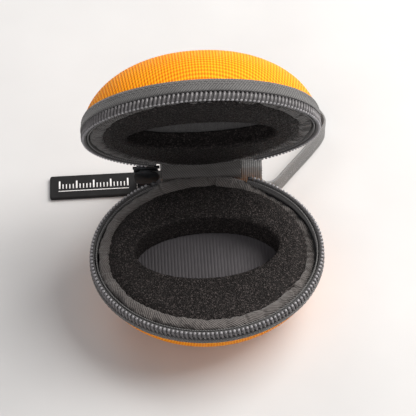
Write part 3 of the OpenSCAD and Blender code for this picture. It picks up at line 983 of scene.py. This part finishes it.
def strip_piece(name, line, left, right, thickness, material, wander, rib=0.0):
    """A band of cloth across X that follows a line in the Y-Z plane, blended from base to lid."""
    count = 96
    run = running(line)
    normals = [X.cross(heading(line, k)) * -1 for k in range(len(line))]
    rings = []
    for i in range(count + 1):
        x = left + (right - left) * i / count
        proud = thickness + rib * abs(sin(pi * x / (0.95 * MM)))
        swells = [wander * noise.noise(Vector((x * 160, far * 0.13, 4))) for far in run]
        outer = [X * x + p + n * (proud + s) for p, n, s in zip(line, normals, swells)]
        inner = [X * x + p + n * s for p, n, s in zip(line, normals, swells)]
        rings.append(outer + inner[::-1])
    around = run + run[::-1] + [0.0]
    step = (right - left) / count / MM
    return sweep_piece(name, rings, None, material, uv=lambda i, j: (i * step, around[j]))


def lid_sag(x, depth):
    """How far in from the hinge's straight line the lid's curved wall lies, for a strip laid on it."""
    radius = dome_r(9 * MM)
    away = radius * OVAL * (1 - sqrt(1 - (x / radius) ** 2))
    return away * min(1.0, depth / (11 * MM)) ** 1.5


def lay_on_lid(piece):
    """Lays the lid's end of a strip back against the curved wall."""
    lid_in, lid_down = lid_point(-1, 0) - lid_point(0, 0), lid_point(0, 1) - lid_point(0, 0)
    rim = lid_point(0, 0)
    for vertex in piece.data.vertices:
        depth = (vertex.co - rim).dot(lid_down)
        if depth > 2.2 * MM:
            vertex.co += lid_in * lid_sag(vertex.co.x, depth)


def add_inner_strip():
    """The strip of lining cloth that crosses the hinge inside."""
    low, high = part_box("hinge_strip")
    line = side_points(HINGE_Y, HINGE_Z, ((-3.3, -4.0), (-3.2, -1.4), (-1.9, -0.1), (-1.0, 0.5)))
    line = smooth_line(line + [lid_point(-1.9 * MM, 0.5 * MM), lid_point(-2.6 * MM, 4.0 * MM)], 5)
    strip = strip_piece("hinge_inner_strip", line, low.x, high.x, 0.7 * MM, "strip", 0.35 * MM)
    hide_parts("hinge_strip")
    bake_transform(strip)


def add_hinge():
    """The inner strip, and the ribbed ribbon outside with its stitches."""
    add_inner_strip()
    low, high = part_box("hinge_ribbon")
    wall = 0.95 * MM
    depths = [13 * MM, 9 * MM, 5 * MM]
    base_run = [Vector((0, dome_r(z) * OVAL + wall, HINGE_Z - z)) for z in depths]
    lid_run = [lid_point(dome_r(z) * OVAL + wall - HINGE_Y, z) for z in depths[::-1]]
    corner = side_points(HINGE_Y, HINGE_Z, ((0.35, -1.9), (0.7, -0.9)))
    line = smooth_line(base_run + corner + [lid_point(0.35 * MM, 2.1 * MM)] + lid_run, 4)
    ribbon = strip_piece("hinge_grosgrain", line, low.x, high.x, 0.7 * MM, "ribbon", 0.12 * MM,
                         0.22 * MM)
    lay_on_lid(ribbon)
    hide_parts("hinge_ribbon")
    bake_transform(ribbon)
    add_hinge_thread(low.x + 1.5 * MM, high.x - 8 * MM, wall + 0.95 * MM)


def add_hinge_thread(left, right, out):
    """Two rows of stitches hold the ribbon to the base, and two to the lid."""
    count = round((right - left) / (2.5 * MM))
    for body in HALVES:
        on_lid = body == "lid"
        up = lid_point(1, 0) - lid_point(0, 0) if on_lid else Y
        parts = Parts()
        for depth in (7.5 * MM, 11 * MM):
            y = dome_r(depth) * OVAL + out
            at = lid_point(y - HINGE_Y, depth) if on_lid else Vector((0, y, HINGE_Z - depth))
            for i in range(count):
                x = left + (right - left) * i / count
                ends = [at + X * end for end in (x, x + 2.1 * MM)]
                if on_lid:
                    ends = [end - up * lid_sag(end.x, depth) for end in ends]
                parts.stitch(ends[0], ends[1], up, 0.4 * MM)
        piece = parts.piece(f"hinge_thread_{body}", body, "grey_thread", "thread")
        if not on_lid:
            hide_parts("hinge_stitching")


# ---- zipper hardware ----


def add_tail():
    """The tape ends, folded together and oversewn."""
    low, high, centre = box_of("zipper_tail")
    rings = []
    count = 24
    for i in range(count + 1):
        x = low.x + (high.x - low.x) * i / count
        height = (high.z - low.z) * (0.86 + 0.14 * min(1, i / 4)) * 0.98
        wave = 0.1 * MM * sin(i * 0.9)
        middle = Vector((x, centre.y + wave * 0.5, centre.z))
        rings.append(round_corners(rectangle(middle, Y * (0.36 * MM), Z * (height / 2)), 0.3 * MM, 3))
    step = (high.x - low.x) / count / MM
    piece = sweep_piece("zipper_tail_tape", rings, "base", "tape",
                        uv=lambda i, j: (i * step, (j % len(rings[0])) * 0.7))
    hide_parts("zipper_tail")


def add_stops():
    """A crimped metal stop past the last tooth on each side."""
    low, high, middle = box_of("zipper_stops")
    parts = Parts()
    height = high.z - low.z
    for side in (-1, 1):
        at = Vector((side * (high.x - 1.1 * MM), middle.y, middle.z))
        for k in (-1, 0, 1):
            size = (2.1 * MM, 1.36 * MM, height * 0.31)
            parts.block(at + Z * (k * height * 0.33), X, Y, Z, size, 0.2 * MM)
        parts.block(at, X, Y, Z, (1.7 * MM, 1.1 * MM, height * 0.96), 0.15 * MM)
    piece = parts.piece("zipper_end_stops", "base", "black_metal", "stops")
    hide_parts("zipper_stops")


def plate_rings(middle, outline, thickness, bevel):
    """Rings of a flat plate with a rounded outline in X-Z, thick along Y."""
    centre = sum(outline, Vector()) / len(outline)
    share = 0.5 - bevel / thickness
    rings = []
    for level, inset in ((-0.5, bevel), (-share, 0), (share, 0), (0.5, bevel)):
        middle_now = middle + centre + Y * (level * thickness)
        rings.append([middle_now + (p - centre) * (1 - inset / (p - centre).length) for p in outline])
    return rings


def slider_outline(length, height):
    """A shield: square where the slider opens, rounded where it closes."""
    w, h = length / 2, height / 2
    corners = [(-w, -h * 0.72), (-w * 0.55, -h), (w * 0.45, -h), (w, -h * 0.55),
               (w, h * 0.55), (w * 0.45, h), (-w * 0.55, h), (-w, h * 0.72)]
    return round_corners([Vector((a, 0, b)) for a, b in corners], 1.6 * MM, 4)


def add_slider():
    """Two shield-shaped plates joined by a wedge, with turned-in edges."""
    low, high, middle = box_of("slider_body")
    size = high - low
    plate = 1.05 * MM
    parts = Parts()
    outline = slider_outline(size.x, size.z)
    for side in (-1, 1):
        at = middle + Y * (side * (size.y - plate) / 2)
        parts.sweep(plate_rings(at, outline, plate, 0.3 * MM))
        for edge in (-1, 1):
            lip = at + Z * (edge * (size.z / 2 - 0.55 * MM)) - Y * (side * 0.55 * MM)
            parts.block(lip, X, Y, Z, (size.x * 0.5, 0.9 * MM, 0.9 * MM), 0.22 * MM)
    wedge = middle - X * (size.x / 2 - 1.15 * MM)
    parts.block(wedge, X, Z, Y, (1.8 * MM, 3.6 * MM, size.y - plate), 0.3 * MM)
    piece = parts.piece("slider_shield", "slider", "black_metal", "metal")
    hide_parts("slider_body")


def add_slider_arch():
    """The arch on the slider's front that the link hangs in."""
    low, high, middle = box_of("slider_crown")
    reach = high.x - low.x
    right = ((0.22, high.y - 0.6 * MM), (0.36, high.y - 0.9 * MM), (0.43, low.y + 1.2 * MM), (0.42, low.y))
    left = [(-share, y) for share, y in right[::-1]]
    line = [Vector((middle.x + share * reach, y, middle.z)) for share, y in (*left, *right)]
    line = smooth_line(line, 4)
    rings = []
    for i, point in enumerate(line):
        rings.append(round_section(point, Z.cross(heading(line, i)), Z, 1.15 * MM, 1.7 * MM, 12))
    piece = tube_piece("slider_arch", rings, "slider", "black_metal", "metal")
    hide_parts("slider_crown")


# ---- zip pull ----


def pull_line(bar, mid_y, top):
    """The pull webbing's line: up from the tab, once round the link's bar and down on itself."""
    turn = [radians(-20 + 40 * k) for k in range(9)]
    round_bar = [(1.35 * cos(a), 1.35 * sin(a)) for a in turn]
    line = side_points(mid_y, top, ((5.2, 0.5), (2.6, 0.55), (1.0, 1.4)))
    line += side_points(bar.y, top, ((1.8, 4.0), (1.2, 8.0)))
    line += side_points(bar.y, bar.z, [(1.1, -3.6)] + round_bar + [(-0.05, -3.8)])
    return smooth_line(line + side_points(bar.y, top, [(0.1, 8.2)]), 4)


def add_pull_webbing(mid_y, top):
    """Webbing that loops round the link's bar."""
    low, high, middle = box_of("pull_loop")
    line = pull_line(Vector(JOINTS["tab_swing"]["pos_m"]), mid_y, top)
    width, across = high.x - low.x, 12
    halves = [(0.30 + 0.2 * sin(pi * k / across) ** 0.4) * MM for k in range(across + 1)]
    rings = []
    for i, point in enumerate(line):
        middles = [point + X * (middle.x + width * (k / across - 0.5)) for k in range(across + 1)]
        rings.append(flat_ring(middles, X.cross(heading(line, i)).normalized(), halves))
    loop = sweep_piece("pull_webbing_loop", rings, "tab", "pull_webbing",
                       uv=webbing_uv(line, width, across))
    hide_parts("pull_loop")


def add_tab(low, high, seam_x):
    """The flat tab, from its free end to the seam, with a pillowed edge."""
    half_l, half_w = (seam_x + 0.8 * MM - low.x) / 2, (high.y - low.y) / 2
    middle = Vector((low.x + half_l, (low.y + high.y) / 2, 0))
    outline = round_corners(rectangle(Vector(), X * half_l, Y * half_w), 1.3 * MM, 6)
    thick = high.z - low.z
    profile = ((0.02, 0.30), (0.12, 0.08), (0.3, 0.0), (0.7, 0.0), (0.88, 0.08), (0.97, 0.28), (1.0, 0.6),
               (0.985, 1.0), (0.985, 2.2))
    rings = []
    for share, inset in profile:
        keep_x, keep_y = 1 - inset * MM / half_l, 1 - inset * MM / half_w
        rings.append([middle + Vector((p.x * keep_x, p.y * keep_y, share * thick)) for p in outline])
    tab = sweep_piece("flat_tab", rings, "tab", "tab")
    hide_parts("pull_tab")


def add_tab_thread(top):
    """The row of stitches that joins the tab to its webbing."""
    low, high, middle = box_of("pull_tab_stitching")
    parts = Parts()
    count = 6
    step = (high.y - low.y) / count
    for i in range(count):
        a = Vector((middle.x, low.y + step * i, top + 0.06 * MM))
        parts.stitch(a, a + Y * (step * 0.82), Z, 0.42 * MM)
    piece = parts.piece("pull_tab_thread", "tab", "white_thread", "white_thread")
    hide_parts("pull_tab_stitching")


def add_pull():
    """The zip pull: webbing on the link, and a flat tab with a printed minute track."""
    low, high, middle = box_of("pull_tab")
    seam_x = high.x - 11.2 * MM
    add_pull_webbing(middle.y, high.z)
    add_tab(low, high, seam_x)
    add_tab_marks(low, high)
    add_tab_tail(seam_x - 2 * MM, high.x, middle.y, high.y - low.y - 0.5 * MM)
    add_tab_thread(high.z)


def add_tab_tail(left, right, mid_y, width):
    """The webbing that the tab is sewn to, which lies on the table under the loop."""
    across, count = 14, 24
    low, high = 0.1 * MM, 1.55 * MM
    rings = []
    for i in range(count + 1):
        x = left + (right - left) * i / count
        upper, lower = [], []
        for k in range(across + 1):
            y = mid_y + width * (k / across - 0.5)
            full = sin(pi * k / across) ** 0.25
            upper.append(Vector((x, y, low + (high - low) * (0.6 + 0.4 * full))))
            lower.append(Vector((x, y, low + 0.3 * MM * (1 - full))))
        rings.append(upper + lower[::-1])
    tube_piece("tab_webbing_tail", rings, "tab", "black_webbing", "pull_webbing")


def add_tab_marks(tab_low, tab_high):
    """A plain minute track: short ticks, a taller one every fifth, and a thin rule."""
    parts = Parts()
    top = tab_high.z + 0.02 * MM
    left, right = tab_low.x + 4.5 * MM, tab_high.x - 15.5 * MM
    base = tab_low.y + 5.2 * MM
    count = 20
    for i in range(count + 1):
        tall = 4.4 * MM if i % 5 == 0 else 2.6 * MM
        wide = 0.7 * MM if i % 5 == 0 else 0.45 * MM
        at = Vector((left + (right - left) * i / count, base + tall / 2, top))
        parts.block(at, X, Y, Z, (wide, tall, 0.09 * MM), 0.03 * MM)
    rule = Vector(((left + right) / 2, base - 1.4 * MM, top))
    parts.block(rule, X, Y, Z, (right - left + 1.0 * MM, 0.42 * MM, 0.09 * MM), 0.03 * MM)
    parts.piece("tab_minute_track", "tab", "white_thread", "ticks")


# ---- wrist strap ----

# The strap's route: x, y and the height of its lower edge, in millimetres
STRAP_ROUTE = (
    (25.6, 47.6, 6.5), (29, 46.6, 3), (33.4, 49.2, 0.6), (39, 56, 0), (46.6, 65, 0),
    (53.6, 73.6, 0), (58.2, 79.8, 0), (59.6, 84.6, 0), (57.6, 90.2, 0), (52.4, 97.4, 0),
    (45, 104.4, 0), (36, 109.6, 0), (25.6, 111.8, 0), (15, 110, 0), (7, 104, 0),
    (2.6, 95.6, 0), (2.8, 86, 0), (7, 76.4, 0), (12.6, 67.3, 0), (17.5, 59.5, 0.5),
    (21.5, 53.5, 3), (24.4, 48, 6.5),
)


def add_strap():
    """Webbing that stands on its edge and comes back to where it starts."""
    line = smooth_line([Vector(p) * MM for p in STRAP_ROUTE], 5)
    run = running(line)
    width, thick, across = 11 * MM, 1.25 * MM, 14
    edges = [min(k, across - k) / across * width for k in range(across + 1)]
    halves = [thick / 2 * (0.72 + 0.28 * min(1.0, edge / (0.9 * MM))) for edge in edges]
    rings = []
    for i, point in enumerate(line):
        ahead = heading(line, i)
        normal = Vector((-ahead.y, ahead.x, 0)).normalized()
        foot = Vector((point.x, point.y, max(point.z, 0.0) + 0.05 * MM))
        middles = []
        for k in range(across + 1):
            wave = 0.25 * MM * noise.noise(Vector((run[i] * 0.06, k / across * 1.2, 5)))
            middles.append(foot + Z * (width * k / across) + normal * wave)
        rings.append(flat_ring(middles, normal, halves))
    strap = sweep_piece("wrist_webbing", rings, "strap", "strap",
                        uv=webbing_uv(line, width, across))
    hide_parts("wrist_strap")
    add_strap_root(Vector((25.0, 47.6, 0)) * MM, STRAP_ROUTE[0][2] * MM + width * 0.4, 25.5 * MM)


def add_bartack():
    """Zigzag stitches that hold the strap's ends."""
    low, high, middle = box_of("strap_tack")
    parts = Parts()
    rows, reach, lean = 9, (high.x - low.x) / 2 - 0.9 * MM, 0.35 * MM
    for i in range(rows):
        at = Vector((middle.x, middle.y, low.z + (high.z - low.z) * (i + 0.5) / rows))
        for k in (0, 1):
            tilt = Z * (lean * (1 if (i + k) % 2 else -1))
            parts.stitch(at + X * (reach * (k - 1)) - tilt, at + X * (reach * k) + tilt, Y, 0.45 * MM)
    piece = parts.piece("strap_bartack", "base", "grey_thread", "thread")
    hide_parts("strap_tack")


def add_strap_root(foot, low, high):
    """The two ends of the strap, gathered and twisted up to where they are sewn on."""
    rings = []
    for i in range(25):
        t = i / 24
        turn = radians(40 + 110 * t)
        side, out = Vector((cos(turn), sin(turn), 0)), Vector((-sin(turn), cos(turn), 0))
        middle = foot + Z * (low + (high - low) * t)
        rings.append(round_section(middle, side, out, 3.0 * MM, (2.5 - 0.4 * t) * MM, 16))
    tube_piece("wrist_webbing_root", rings, "strap", "grey_webbing", "strap")


# ---- build ----

add_camera()
add_stage()
for half_name in HALVES:
    add_half(half_name)
add_hinge()
add_tail()
add_stops()
add_slider()
add_slider_arch()
use_material("pull_link", "metal")
add_pull()
add_strap()
add_bartack()
